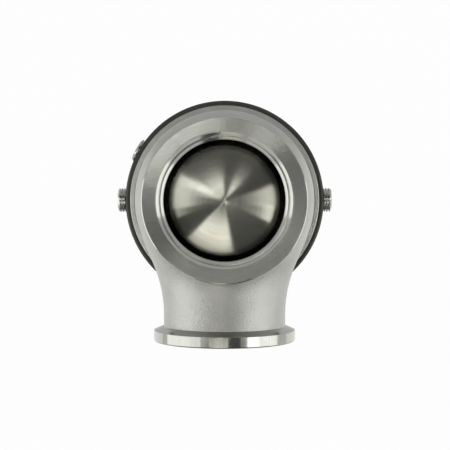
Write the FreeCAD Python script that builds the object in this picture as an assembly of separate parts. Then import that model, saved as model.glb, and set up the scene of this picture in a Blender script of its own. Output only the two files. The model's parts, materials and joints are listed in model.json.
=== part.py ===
"""External turbo wastegate of the 60 mm class: a cast stainless valve body with two V-band flanges,
a poppet valve on a loose seat ring, and a water-cooled diaphragm actuator with three nested springs.

Frame: millimetres, +Z up. The origin is the centre of the outlet flange's face, on which the gate stands.
The valve axis runs along +Y at AXIS_HEIGHT, from the inlet face (facing -Y) to the actuator cap.
A "station" is the distance along the valve axis behind the inlet face.
"""

import FreeCAD
import Part
import math
import os

from FreeCAD import Placement, Rotation, Vector

# ---- Driving dimensions -------------------------------------------------------------------------
AXIS_HEIGHT = 76.2  # outlet face to valve axis
INLET_TO_OUTLET_AXIS = 45.0  # inlet face to the outlet's centre line
VALVE_LIFT = 14.0  # full travel of the valve

INLET_FLANGE_R = 42.5
OUTLET_FLANGE_R = 38.3
FLANGE_RIM = 6.0  # cylindrical rim that the V-band clamp closes over
FLANGE_EDGE = 0.6  # small chamfer on both flanges
V_ANGLE = 22.0  # slope of the clamp cone behind each rim, degrees

INLET_NECK_R = 39.0
BELLY_R = 49.0  # widest radius of the cast chamber
BELLY_ARC_R = 85.0  # profile radius of the chamber's shoulder
WALL = 4.2  # casting wall

PIPE_R = 33.0  # outlet branch, outside
FLARE_RADIUS = 70.0  # profile radius where the branch widens into the chamber
FLARE_START = 14.0  # height where the branch starts to widen
FLARE_ANGLE = 22.6  # slope of the branch's sides where they meet the chamber, degrees

BODY_TOP = 80.0  # station of the body's actuator face
BODY_FLANGE_R = 53.15
BODY_FLANGE_T = 7.0

SEAT_R = 35.2  # outside of the seat ring
SEAT_LENGTH = 14.8
THROAT_R = 31.2
VALVE_NOSE_R = 29.1
STEM_R = 5.0
STEM_THREAD_R = 4.0
RUNNING_GAP = 0.04  # radial clearance of the stem in its guide and seal

GASKET_T = 0.8
BASE_FRONT = BODY_TOP + GASKET_T
ACTUATOR_R = 56.9
CHAMBER_R = 46.5  # pressure chamber, inside
CHAMBER_FLOOR = 95.0  # station of the base's floor
CLAMP_PLANE = 111.2  # station of the base's rim, under the diaphragm
BEAD_R = 48.6
BEAD_SECTION_R = 1.2
DIAPHRAGM_EDGE_T = 1.6
DIAPHRAGM_T = 1.2
SPIGOT_R = 53.0  # thread between base and collar
COLLAR_START = 100.0
CAP_FLANGE_T = 3.0
CAP_FLANGE = CLAMP_PLANE + DIAPHRAGM_EDGE_T
SPRING_CEILING = 146.0  # station of the cap's inner face, where the springs bear
CAP_TOP = 149.0

STACK_START = 96.2  # stem shoulder under the retainer plate
RETAINER_T = 2.0
PISTON_R = 36.0
PISTON_FLOOR_T = 3.0
PISTON_SKIRT_T = 2.4
PISTON_TOP = 113.0

PORT_STATION = 89.5
PORT_THREAD_R = 7.0  # M14 x 1.5
THREAD_PITCH = 1.5
THREAD_DEPTH = 0.75
COOLANT_PLUG_ANGLES = {"coolant_plug_right": 0.0, "coolant_plug_left": 180.0}
SIGNAL_PORT_ANGLE = 150.0
COOLANT_PLUG_PROUD = 4.7
SIGNAL_PLUG_PROUD = 2.3
PORT_BOTTOM_R = 47.5  # radius where the tapped holes end

BASE_SCREW_COUNT = 6
BASE_SCREW_PITCH_R = 37.0
BASE_SCREW_R = 3.0

ON_AXIS = 0.0  # radius of a profile point that lies on the axis of turning
FULL_TURN = 360.0


# ---- Helpers ------------------------------------------------------------------------------------
class Arc:
    """A profile step: a circular arc through one point to its end."""

    def __init__(self, through, end):
        self.through = through
        self.end = end


def on_axis(station, radius=0.0, angle=0.0):
    """A point at a station, a radius from the valve axis and an angle (0 is +X, 90 is up)."""
    a = math.radians(angle)
    y = station - INLET_TO_OUTLET_AXIS
    return Vector(radius * math.cos(a), y, AXIS_HEIGHT + radius * math.sin(a))


def outline(start, steps, place):
    """A closed face from 2-D profile steps; place turns a profile pair into a 3-D point."""
    edges = []
    here = start
    for step in (*steps, start):
        if isinstance(step, Arc):
            edges.append(Part.Arc(place(here), place(step.through), place(step.end)).toShape())
            here = step.end
        elif step != here:
            edges.append(Part.LineSegment(place(here), place(step)).toShape())
            here = step
    return Part.Face(Part.Wire(edges))


def upright(solid):
    """The same solid with outward normals."""
    if solid.Volume < 0:
        solid.reverse()
    return solid


def turned(start, *steps):
    """A solid turned about the valve axis from (station, radius) steps."""
    face = outline(start, steps, lambda p: on_axis(p[0], p[1]))
    return upright(face.revolve(on_axis(0), Vector(0, 1, 0), FULL_TURN))


def turned_about_z(start, *steps):
    """A solid turned about the Z axis from (height, radius) steps."""
    face = outline(start, steps, lambda p: Vector(p[1], 0, p[0]))
    return upright(face.revolve(Vector(0, 0, 0), Vector(0, 0, 1), FULL_TURN))


def tube(start, end, inner, outer):
    """A plain ring about the valve axis."""
    return turned((start, inner), (start, outer), (end, outer), (end, inner))


def disc(start, end, radius):
    return Part.makeCylinder(radius, end - start, on_axis(start), Vector(0, 1, 0))


def hole_along_axis(station, depth, radius, pitch_r, angle):
    """A cylinder parallel to the valve axis, starting at a station."""
    return Part.makeCylinder(radius, depth, on_axis(station, pitch_r, angle), Vector(0, 1, 0))


def radial_direction(angle):
    a = math.radians(angle)
    return Vector(math.cos(a), 0, math.sin(a))


def radial_hole(station, angle, inner, outer, radius):
    """A cylinder square to the valve axis, between two radii."""
    start = on_axis(station, inner, angle)
    return Part.makeCylinder(radius, outer - inner, start, radial_direction(angle))


def hexagon(across_flats, height):
    """A hexagonal bar standing on the local XY plane."""
    corner = across_flats / math.sqrt(3)
    turns = [math.radians(60 * k) for k in range(7)]
    points = [Vector(corner * math.cos(a), corner * math.sin(a), 0) for a in turns]
    return Part.Face(Part.makePolygon(points)).extrude(Vector(0, 0, height))


def ring_of(count, first=0.0):
    """Evenly spaced angles."""
    return [first + k * FULL_TURN / count for k in range(count)]


def along_valve_axis(shape, station, pitch_r=0.0, angle=0.0):
    """Stands a local-Z shape along the valve axis with its local origin at the station."""
    out = shape.copy()
    out.Placement = Placement(on_axis(station, pitch_r, angle), Rotation(Vector(1, 0, 0), -90))
    return out


def cone_run(height):
    """Length along the axis of a clamp cone of the given radial height."""
    return height * math.tan(math.radians(V_ANGLE))


# ---- Valve body: chamber, outlet branch and flanges ---------------------------------------------
def belly_radius(station, offset=0.0):
    """Outside radius of the chamber's shoulder, an arc that levels out at BELLY_STATION."""
    rise = BELLY_STATION - station
    return BELLY_R - BELLY_ARC_R + math.sqrt(BELLY_ARC_R**2 - rise**2) - offset


BELLY_STATION = 50.0
SHOULDER_START = 10.0
BELLY_END = 66.5
GROOVE_R = 47.0
GROOVE_START = 69.0


def chamber_outside():
    flange_cone_end = FLANGE_RIM - 0.4 + cone_run(INLET_FLANGE_R - INLET_NECK_R)
    flange_front = BODY_TOP - BODY_FLANGE_T
    mid = (BELLY_STATION + SHOULDER_START) / 2
    return turned(
        (0, ON_AXIS),
        (0, INLET_FLANGE_R - FLANGE_EDGE),
        (FLANGE_EDGE, INLET_FLANGE_R),
        (FLANGE_RIM - 0.4, INLET_FLANGE_R),
        (flange_cone_end, INLET_NECK_R),
        (SHOULDER_START, belly_radius(SHOULDER_START)),
        Arc((mid, belly_radius(mid)), (BELLY_STATION, BELLY_R)),
        (BELLY_END, BELLY_R - 0.4),
        Arc((GROOVE_START - 0.73, BELLY_R - 1.13), (GROOVE_START, GROOVE_R)),
        (flange_front, GROOVE_R),
        (flange_front, BODY_FLANGE_R - FLANGE_EDGE),
        (flange_front + FLANGE_EDGE, BODY_FLANGE_R),
        (BODY_TOP - FLANGE_EDGE, BODY_FLANGE_R),
        (BODY_TOP, BODY_FLANGE_R - FLANGE_EDGE),
        (BODY_TOP, ON_AXIS),
    )


CAVITY_TOP = 70.0
BOSS_END = 57.0
BOSS_R = 12.0


def chamber_inside():
    """The gas chamber, leaving the guide boss that hangs from its top wall."""
    first = SEAT_LENGTH + 3.0
    mid = (BELLY_STATION + first) / 2
    return turned(
        (SEAT_LENGTH, ON_AXIS),
        (SEAT_LENGTH, SEAT_R - 1.2),
        (first, belly_radius(first, WALL)),
        Arc((mid, belly_radius(mid, WALL)), (BELLY_STATION, BELLY_R - WALL)),
        (CAVITY_TOP - 5, BELLY_R - WALL - 0.4),
        Arc((CAVITY_TOP - 1.46, BELLY_R - WALL - 1.86), (CAVITY_TOP, BELLY_R - WALL - 5.4)),
        (CAVITY_TOP, BOSS_R + 3.5),
        Arc((CAVITY_TOP - 1.0, BOSS_R + 1.0), (CAVITY_TOP - 3.5, BOSS_R)),
        (BOSS_END + 1, BOSS_R),
        (BOSS_END, BOSS_R - 1),
        (BOSS_END, ON_AXIS),
    )


def branch_half_width(height):
    """Half the branch's width seen along the valve axis: straight, then an arc, then a tangent."""
    end_angle = math.radians(FLARE_ANGLE)
    arc_top = FLARE_START + FLARE_RADIUS * math.sin(end_angle)
    arc_width = PIPE_R + FLARE_RADIUS * (1 - math.cos(end_angle))
    if height <= FLARE_START:
        return PIPE_R
    if height <= arc_top:
        turn = math.asin((height - FLARE_START) / FLARE_RADIUS)
        return PIPE_R + FLARE_RADIUS * (1 - math.cos(turn))
    return min(arc_width + (height - arc_top) * math.tan(end_angle), BRANCH_WIDEST)


BRANCH_DEPTH_R = 33.0  # half the branch's depth along the valve axis
BRANCH_WIDEST = 45.0
BRANCH_TOP_BELOW_AXIS = 14.0
BRANCH_SECTIONS = 12
REAR_WALL_EXTRA = 3.2  # added behind the branch where the actuator screws end


def branch(offset, bottom, rear_extra=0.0):
    """The outlet branch as a loft of ellipses, shrunk by an offset and thicker walled behind."""
    top = AXIS_HEIGHT - BRANCH_TOP_BELOW_AXIS
    wires = []
    for k in range(BRANCH_SECTIONS):
        rise = k / (BRANCH_SECTIONS - 1)
        height = bottom + (top - bottom) * rise
        thinner = rear_extra * min(1.0, 2 * rise)
        wide = branch_half_width(height) - offset
        deep = BRANCH_DEPTH_R - offset - thinner / 2
        oval = Part.Ellipse(Vector(0, -thinner / 2, height), wide, deep)
        wires.append(Part.Wire(oval.toShape()))
    return upright(Part.makeLoft(wires, True, False))


def outlet_flange():
    cone_top = FLANGE_RIM + cone_run(OUTLET_FLANGE_R - BRANCH_DEPTH_R)
    return turned_about_z(
        (0, ON_AXIS),
        (0, OUTLET_FLANGE_R - FLANGE_EDGE),
        (FLANGE_EDGE, OUTLET_FLANGE_R),
        (FLANGE_RIM - 0.3, OUTLET_FLANGE_R),
        (FLANGE_RIM, OUTLET_FLANGE_R - 0.3),
        (cone_top, BRANCH_DEPTH_R),
        (cone_top, ON_AXIS),
    )


OUTLET_BORE_R = PIPE_R - WALL
SCREW_TAPPING = 7.0
GUIDE_R = 8.0


def valve_body():
    outside = chamber_outside().fuse(branch(0.0, FLANGE_RIM)).removeSplitter()
    outside = blend_junction(outside)
    outside = outside.fuse(outlet_flange())
    inside = chamber_inside().fuse(branch(WALL, FLARE_START, REAR_WALL_EXTRA))
    cuts = [
        inside,
        Part.makeCylinder(OUTLET_BORE_R, FLARE_START),
        disc(0, SEAT_LENGTH, SEAT_R),
        disc(BOSS_END, BODY_TOP, GUIDE_R),
    ]
    for angle in ring_of(BASE_SCREW_COUNT, 30):
        start = BODY_TOP - SCREW_TAPPING
        cuts.append(hole_along_axis(start, SCREW_TAPPING, BASE_SCREW_R, BASE_SCREW_PITCH_R, angle))
    return outside.cut(cuts).removeSplitter()


JUNCTION_FILLET = 7.0


def blend_junction(solid):
    """Rounds the seam where the branch grows out of the chamber."""
    seam = []
    for edge in solid.Edges:
        box = edge.BoundBox
        wide = box.XLength > 10 and box.YLength > 10 and box.ZMax > FLARE_START
        if wide and "BSpline" in edge.Curve.TypeId:
            seam.append(edge)
    return solid.makeFillet(JUNCTION_FILLET, seam)


# ---- Gas side: seat, valve and guide ------------------------------------------------------------
SEAT_STEP = 3.1
SEAT_CONE_START = 12.5
SEAT_CONE_RISE = 2.1
RELIEF = 0.15  # the throat is relieved behind its entry, beside the valve's nose
RELIEF_START = 8.4


def seat_ring():
    """Loose seat, held in its counterbore by the inlet joint; a 45 degree seat faces the chamber."""
    return turned(
        (0.3, SEAT_R),
        (0.3, SEAT_R - 0.3),
        (1.9, SEAT_R - 1.7),
        (SEAT_STEP, SEAT_R - 1.8),
        (SEAT_STEP, THROAT_R + 1.4),
        (SEAT_STEP + 1.4, THROAT_R),
        (RELIEF_START, THROAT_R),
        (RELIEF_START, THROAT_R + RELIEF),
        (SEAT_CONE_START + RELIEF, THROAT_R + RELIEF),
        (SEAT_CONE_START + SEAT_CONE_RISE, THROAT_R + SEAT_CONE_RISE),
        (SEAT_LENGTH, THROAT_R + SEAT_CONE_RISE),
        (SEAT_LENGTH, SEAT_R),
    )


VALVE_FACE = 5.0  # station of the middle of the domed face
DOME_R = 75.0
FACE_EDGE_R = 28.3
SEATING_GAP = 0.08  # along the axis, between the closed valve and its seat
VALVE_RIM_R = THROAT_R + 1.9


def dome(radius):
    """Station of the valve's domed face at this radius."""
    return VALVE_FACE + DOME_R - math.sqrt(DOME_R**2 - radius**2)


def valve_poppet():
    cone_start = SEAT_CONE_START + SEATING_GAP
    rise = VALVE_RIM_R - THROAT_R
    slope = math.asin(FACE_EDGE_R / DOME_R)
    rounding = (VALVE_NOSE_R - FACE_EDGE_R) / (1 - math.sin(slope))
    face_end = dome(FACE_EDGE_R) + rounding * math.cos(slope)
    halfway = (slope + math.pi / 2) / 2
    bulge = (face_end - rounding * math.cos(halfway), VALVE_NOSE_R - rounding * (1 - math.sin(halfway)))
    return turned(
        (VALVE_FACE + 0.5, ON_AXIS),
        (dome(0.9), 0.9),
        Arc((dome(15.0), 15.0), (dome(FACE_EDGE_R), FACE_EDGE_R)),
        Arc(bulge, (face_end, VALVE_NOSE_R)),
        (cone_start - 0.8, VALVE_NOSE_R),
        Arc((cone_start - 0.15, VALVE_NOSE_R + 0.6), (cone_start + 0.1, THROAT_R + 0.1)),
        (cone_start + rise, VALVE_RIM_R),
        (cone_start + rise + 2.0, VALVE_RIM_R),
        (cone_start + rise + 2.8, VALVE_RIM_R - 0.8),
        (21.0, 22.0),
        Arc((25.5, 10.0), (36.0, STEM_R)),
        (STACK_START, STEM_R),
        (STACK_START, STEM_THREAD_R),
        (STACK_START + 15.8, STEM_THREAD_R),
        (STACK_START + 16.3, STEM_THREAD_R - 0.5),
        (STACK_START + 16.3, ON_AXIS),
    )


GUIDE_START = 54.0
GUIDE_END = 86.0


def valve_guide():
    bore = STEM_R + RUNNING_GAP
    return turned(
        (GUIDE_START, bore),
        (GUIDE_START, GUIDE_R - 1.2),
        (GUIDE_START + 1.2, GUIDE_R),
        (GUIDE_END - 0.5, GUIDE_R),
        (GUIDE_END, GUIDE_R - 0.5),
        (GUIDE_END, bore),
    )


def body_gasket():
    sheet = tube(BODY_TOP, BASE_FRONT, GUIDE_R, BODY_FLANGE_R - 0.8)
    holes = [
        hole_along_axis(BODY_TOP, GASKET_T, BASE_SCREW_R, BASE_SCREW_PITCH_R, angle)
        for angle in ring_of(BASE_SCREW_COUNT, 30)
    ]
    return sheet.cut(holes)


# ---- Actuator base with its coolant gallery -----------------------------------------------------
GALLERY_INNER = 16.0
GALLERY_OUTER = 29.5
GALLERY_ROOF = 91.0
PLATE_INNER = 13.5
PLATE_OUTER = 31.5
PLATE_T = 3.2
PLATE_END = BASE_FRONT + PLATE_T
SEAL_R = 9.5
SEAL_START = GUIDE_END + 0.5
SEAL_END = 91.5
CLIP_START = 91.8
CLIP_T = 1.2
CLIP_R = 10.3
SCREW_HEAD_R = 5.0
SCREW_HEAD_H = 6.0
SCREW_SEAT = CHAMBER_FLOOR - SCREW_HEAD_H
SCREW_COUNTERBORE_R = 5.2
DOWEL_R = 0.8
DOWEL_PITCH_R = 51.3


def actuator_base():
    body = turned(
        (BASE_FRONT, GUIDE_R),
        (BASE_FRONT, ACTUATOR_R - 1.2),
        (BASE_FRONT + 1.2, ACTUATOR_R),
        (COLLAR_START - 0.5, ACTUATOR_R),
        (COLLAR_START, ACTUATOR_R - 0.5),
        (COLLAR_START, SPIGOT_R),
        (CLAMP_PLANE - 0.5, SPIGOT_R),
        (CLAMP_PLANE, SPIGOT_R - 0.5),
        (CLAMP_PLANE, CHAMBER_R),
        (CHAMBER_FLOOR + 3, CHAMBER_R),
        Arc((CHAMBER_FLOOR + 0.88, CHAMBER_R - 0.88), (CHAMBER_FLOOR, CHAMBER_R - 3)),
        (CHAMBER_FLOOR, GUIDE_R),
    )
    cuts = [
        tube(BASE_FRONT, PLATE_END, PLATE_INNER, PLATE_OUTER),
        tube(PLATE_END, GALLERY_ROOF, GALLERY_INNER, GALLERY_OUTER),
        disc(GUIDE_END, CHAMBER_FLOOR, SEAL_R),
        disc(CLIP_START, CLIP_START + CLIP_T, CLIP_R),
        bead(),
        signal_passage(),
        hole_along_axis(CLAMP_PLANE - DOWEL_DEPTH, DOWEL_DEPTH, DOWEL_R, DOWEL_PITCH_R, 90),
    ]
    for angle in COOLANT_PLUG_ANGLES.values():
        cuts.append(radial_hole(PORT_STATION, angle, PORT_BOTTOM_R, ACTUATOR_R, PORT_THREAD_R))
        cuts.append(radial_hole(87.5, angle, GALLERY_OUTER - 2, PORT_BOTTOM_R, 3.0))
    for angle in ring_of(BASE_SCREW_COUNT, 30):
        through = CHAMBER_FLOOR - BASE_FRONT
        cuts.append(hole_along_axis(BASE_FRONT, through, BASE_SCREW_R, BASE_SCREW_PITCH_R, angle))
        cuts.append(
            hole_along_axis(SCREW_SEAT, SCREW_HEAD_H, SCREW_COUNTERBORE_R, BASE_SCREW_PITCH_R, angle)
        )
    return body.cut(cuts)


DOWEL_DEPTH = 3.0


def signal_passage():
    """Tapped signal port and the drilling that leads it into the pressure chamber."""
    tapped = radial_hole(PORT_STATION, SIGNAL_PORT_ANGLE, PORT_BOTTOM_R, ACTUATOR_R, PORT_THREAD_R)
    inward = radial_hole(92.0, SIGNAL_PORT_ANGLE, 43.0, PORT_BOTTOM_R, 1.5)
    upward = hole_along_axis(92.0, CHAMBER_R - 42.0, 1.5, 44.3, SIGNAL_PORT_ANGLE)
    return tapped.fuse([inward, upward])


O_RING_SECTION_R = 0.9


def gallery_plate():
    """Closes the coolant gallery from below; an O-ring sits in a groove at each rim."""
    middle = BASE_FRONT + PLATE_T / 2
    groove = 2 * O_RING_SECTION_R
    return turned(
        (BASE_FRONT, PLATE_INNER),
        (BASE_FRONT, PLATE_OUTER),
        (middle - O_RING_SECTION_R, PLATE_OUTER),
        (middle - O_RING_SECTION_R, PLATE_OUTER - groove),
        (middle + O_RING_SECTION_R, PLATE_OUTER - groove),
        (middle + O_RING_SECTION_R, PLATE_OUTER),
        (PLATE_END, PLATE_OUTER),
        (PLATE_END, PLATE_INNER),
        (middle + O_RING_SECTION_R, PLATE_INNER),
        (middle + O_RING_SECTION_R, PLATE_INNER + groove),
        (middle - O_RING_SECTION_R, PLATE_INNER + groove),
        (middle - O_RING_SECTION_R, PLATE_INNER),
    )


def o_ring(radius, station):
    return Part.makeTorus(radius, O_RING_SECTION_R, on_axis(station), Vector(0, 1, 0))


def socket_screw():
    """M6 socket-head screw, its head seat on the local XY plane."""
    length = SCREW_SEAT - (BODY_TOP - SCREW_TAPPING) - 0.5
    blank = turned_about_z(
        (-length, 0),
        (-length, BASE_SCREW_R - 0.5),
        (-length + 0.5, BASE_SCREW_R),
        (0, BASE_SCREW_R),
        (0, SCREW_HEAD_R),
        (SCREW_HEAD_H - 0.5, SCREW_HEAD_R),
        (SCREW_HEAD_H, SCREW_HEAD_R - 0.5),
        (SCREW_HEAD_H, 0),
    )
    socket = hexagon(5.0, 3.0).translated(Vector(0, 0, SCREW_HEAD_H - 3.0))
    return blank.cut(socket)


def base_screws():
    screw = socket_screw()
    return Part.makeCompound(
        [
            along_valve_axis(screw, SCREW_SEAT, BASE_SCREW_PITCH_R, angle)
            for angle in ring_of(BASE_SCREW_COUNT, 30)
        ]
    )


def stem_seal():
    """Lip seal round the stem, above the guide."""
    bore = STEM_R + RUNNING_GAP
    return turned(
        (SEAL_START, bore + 1.0),
        (SEAL_START, SEAL_R),
        (SEAL_END, SEAL_R),
        (SEAL_END, bore),
        (SEAL_START + 1.5, bore),
    )


def seal_clip():
    """Internal snap ring that keeps the seal in its pocket."""
    ring = tube(CLIP_START, CLIP_START + CLIP_T, SEAL_R - 2.2, CLIP_R)
    gap = Part.makeBox(4.0, CLIP_T, 6.0, on_axis(CLIP_START) + Vector(-2.0, 0, SEAL_R - 4.0))
    return ring.cut(gap)


def port_plug(angle, proud, length=12.0):
    """Threaded M14 plug with a hexagon socket. The threads that stand proud of the base are cut; the
    rest of the plug fills its tapped hole."""
    steps = [(0, PORT_THREAD_R - 1.3), (0.8, PORT_THREAD_R - 0.3)]
    height = 1.1
    root = PORT_THREAD_R - THREAD_DEPTH
    while height < proud:
        steps.append((height, PORT_THREAD_R))
        steps.append((height + 0.15, PORT_THREAD_R))
        steps.append((height + THREAD_PITCH / 2, root))
        steps.append((height + THREAD_PITCH / 2 + 0.2, root))
        height += THREAD_PITCH
    steps.append((height, PORT_THREAD_R))
    steps.append((length, PORT_THREAD_R))
    blank = turned_about_z((0, 0), *steps, (length, 0))
    cone = Part.makeCone(4.6, 3.6, 0.9)
    drive = hexagon(6.3, 5.0)
    plug = blank.cut([cone, drive])
    outward = radial_direction(angle)
    plug.Placement = Placement(
        on_axis(PORT_STATION, ACTUATOR_R + proud, angle), Rotation(Vector(0, 0, 1), -outward)
    )
    return plug


# ---- Moving stack -------------------------------------------------------------------------------
DIAPHRAGM_FLAT = STACK_START + RETAINER_T
PISTON_FLOOR = DIAPHRAGM_FLAT + DIAPHRAGM_T
SPRING_SEAT = PISTON_FLOOR + PISTON_FLOOR_T
WASHER_T = 1.6
NUT_H = 6.5
LAND_H = 1.5  # raised lands that keep the springs apart
LANDS = ((17.6, 20.2), (25.0, 27.4))
STEPS_PER_TURN = 24


def bead():
    middle = on_axis(CLAMP_PLANE + DIAPHRAGM_EDGE_T / 2)
    return Part.makeTorus(BEAD_R, BEAD_SECTION_R, middle, Vector(0, 1, 0))


def diaphragm():
    """Fabric-reinforced rubber: clamped rim with a bead, rolling wall, and a flat held by the piston."""
    sheet = turned(
        (DIAPHRAGM_FLAT, STEM_THREAD_R),
        (DIAPHRAGM_FLAT, 36.5),
        Arc((DIAPHRAGM_FLAT + 0.9, 39.3), (DIAPHRAGM_FLAT + 3.3, 41.0)),
        (108.2, 43.6),
        Arc((CLAMP_PLANE - 0.75, 44.8), (CLAMP_PLANE, CHAMBER_R)),
        (CLAMP_PLANE, BEAD_R + 1.5),
        (CAP_FLANGE, BEAD_R + 1.5),
        (CAP_FLANGE, 45.4),
        Arc((CAP_FLANGE - 1.1, 43.2), (108.6, 42.3)),
        (DIAPHRAGM_FLAT + 3.7, 39.9),
        Arc((PISTON_FLOOR + 0.7, 38.2), (PISTON_FLOOR, 36.0)),
        (PISTON_FLOOR, STEM_THREAD_R),
    )
    return sheet.fuse(bead()).removeSplitter()


def diaphragm_retainer():
    return turned(
        (STACK_START, STEM_THREAD_R),
        (STACK_START, 29.0),
        (STACK_START + 1.0, 30.0),
        (DIAPHRAGM_FLAT, 30.0),
        (DIAPHRAGM_FLAT, STEM_THREAD_R),
    )


def piston():
    """Aluminium cup above the diaphragm that seats the three springs."""
    inner = PISTON_R - PISTON_SKIRT_T
    cup = turned(
        (PISTON_FLOOR, STEM_THREAD_R),
        (PISTON_FLOOR, PISTON_R - 2),
        Arc((PISTON_FLOOR + 0.59, PISTON_R - 0.59), (PISTON_FLOOR + 2, PISTON_R)),
        (PISTON_TOP, PISTON_R),
        (PISTON_TOP, inner),
        (SPRING_SEAT, inner),
        (SPRING_SEAT, STEM_THREAD_R),
    )
    lands = [tube(SPRING_SEAT, SPRING_SEAT + LAND_H, low, high) for low, high in LANDS]
    return cup.fuse(lands).removeSplitter()


def stem_washer():
    return tube(SPRING_SEAT, SPRING_SEAT + WASHER_T, STEM_THREAD_R, 9.0)


def stem_nut():
    bored = hexagon(13.0, NUT_H).cut(Part.makeCylinder(STEM_THREAD_R, NUT_H))
    return along_valve_axis(bored, SPRING_SEAT + WASHER_T)


def spring(mean_r, wire_r, turns, left_hand):
    """A compression spring between piston and cap: closed end coils, ground flat."""
    length = SPRING_CEILING - SPRING_SEAT
    end_pitch = 2 * wire_r + 0.2
    pitch = (length - wire_r - 2 * end_pitch) / (turns - 2)
    points = []
    for k in range(round(turns * STEPS_PER_TURN) + 1):
        turn = k / STEPS_PER_TURN
        middle = min(max(turn - 1, 0), turns - 2)
        height = wire_r / 2 + end_pitch * (turn - middle) + pitch * middle
        swing = math.radians(FULL_TURN * turn) * (-1 if left_hand else 1)
        points.append(Vector(mean_r * math.cos(swing), mean_r * math.sin(swing), height))
    path = Part.BSplineCurve()
    path.interpolate(points)
    start, heading = path.value(path.FirstParameter), path.tangent(path.FirstParameter)[0]
    section = Part.Wire(Part.makeCircle(wire_r, start, heading))
    coil = Part.Wire(path.toShape()).makePipeShell([section], True, True)
    slab = Part.makeCylinder(mean_r + 2 * wire_r, length)
    return along_valve_axis(upright(coil).common(slab), SPRING_SEAT)


# ---- Cap and collar -----------------------------------------------------------------------------
CAP_WALL_R = 48.8
CAP_SHOULDER = 134.0
CAP_RIM_R = 37.0
STOP_END = STACK_START + 16.3 + VALVE_LIFT + 0.5
CAP_PORT_R = 4.5  # M10 x 1, core
CAP_PORT_PITCH_R = 26.2
CAP_PORT_ANGLE = 60.0
CAP_PORT_BOSS_R = 8.5
CAP_PORT_TOP = 154.5
CAP_PORT_DEPTH = 7.0
LIP_R = 49.2
COLLAR_END = 119.0
COLLAR_LIP = CAP_FLANGE + CAP_FLANGE_T
COLLAR_FLUTES = 24
FLUTE_R = 3.2
LOCK_SCREW_R = 2.0
LOCK_SCREW_ANGLE = 315.0
LOCK_SCREW_STATION = 105.5


def actuator_cap():
    shell = turned(
        (CAP_FLANGE, 45.2),
        (CAP_FLANGE, SPIGOT_R - 0.5),
        (COLLAR_LIP, SPIGOT_R - 0.5),
        (COLLAR_LIP, CAP_WALL_R),
        (CAP_SHOULDER, CAP_WALL_R - 1.0),
        Arc((144.3, 44.2), (CAP_TOP, CAP_RIM_R)),
        (CAP_TOP, 37.0),
        (CAP_TOP - 0.8, 36.2),
        (CAP_TOP - 0.8, ON_AXIS),
        (STOP_END, ON_AXIS),
        (STOP_END, 6.5),
        (STOP_END + 1.0, 7.5),
        (SPRING_CEILING, 8.5),
        (SPRING_CEILING, 35.5),
        Arc((141.6, 41.2), (CAP_SHOULDER, 44.2)),
    )
    lands = [tube(SPRING_CEILING - LAND_H, SPRING_CEILING, low, high) for low, high in LANDS]
    boss_h = CAP_PORT_TOP - SPRING_CEILING
    boss = hole_along_axis(SPRING_CEILING, boss_h, CAP_PORT_BOSS_R, CAP_PORT_PITCH_R, CAP_PORT_ANGLE)
    tapped = CAP_PORT_TOP - CAP_PORT_DEPTH
    cuts = [
        bead(),
        hole_along_axis(CAP_FLANGE, 2.0, DOWEL_R, DOWEL_PITCH_R, 90),
        hole_along_axis(tapped, CAP_PORT_DEPTH, CAP_PORT_R, CAP_PORT_PITCH_R, CAP_PORT_ANGLE),
        hole_along_axis(SPRING_CEILING - 2, 4.0, 1.8, CAP_PORT_PITCH_R, CAP_PORT_ANGLE),
    ]
    for station in (120.5, 124.5, 128.5):
        cuts.append(tube(station, station + 2.0, CAP_WALL_R - 1.8, CAP_WALL_R + 2))
    return shell.fuse([*lands, boss]).cut(cuts).removeSplitter()


def locking_collar():
    """Screws on to the base's spigot and clamps the cap down on the diaphragm's rim."""
    ring = turned(
        (COLLAR_START, SPIGOT_R),
        (COLLAR_START, ACTUATOR_R - 0.5),
        (COLLAR_START + 0.5, ACTUATOR_R),
        (COLLAR_END - 1.5, ACTUATOR_R),
        (COLLAR_END, ACTUATOR_R - 1.5),
        (COLLAR_END, LIP_R),
        (COLLAR_LIP, LIP_R),
        (COLLAR_LIP, SPIGOT_R),
    )
    flutes = [
        hole_along_axis(109.5, 12.0, FLUTE_R, ACTUATOR_R + FLUTE_R - 1.5, angle)
        for angle in ring_of(COLLAR_FLUTES, 7.5)
    ]
    tapped = radial_hole(LOCK_SCREW_STATION, LOCK_SCREW_ANGLE, SPIGOT_R - 1, ACTUATOR_R, LOCK_SCREW_R)
    return ring.cut([*flutes, tapped])


def collar_lock_screw():
    """M4 grub screw that stops the collar from turning."""
    length = 3.1
    blank = Part.makeCylinder(LOCK_SCREW_R, length).cut(hexagon(2.0, 1.6))
    outward = radial_direction(LOCK_SCREW_ANGLE)
    start = on_axis(LOCK_SCREW_STATION, SPIGOT_R + length, LOCK_SCREW_ANGLE)
    blank.Placement = Placement(start, Rotation(Vector(0, 0, 1), -outward))
    return blank


def cap_dowel_pin():
    """Keeps the cap from turning with the collar."""
    start = CLAMP_PLANE - DOWEL_DEPTH + 0.2
    return hole_along_axis(start, CAP_FLANGE + 1.8 - start, DOWEL_R, DOWEL_PITCH_R, 90)


# ---- All sub-parts ------------------------------------------------------------------------------
PLATE_MIDDLE = BASE_FRONT + PLATE_T / 2
SPRINGS = {
    "spring_outer": (30.2, 2.1, 5.75, False),
    "spring_middle": (22.6, 1.7, 7.0, True),
    "spring_inner": (15.6, 1.3, 9.0, False),
}


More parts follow.
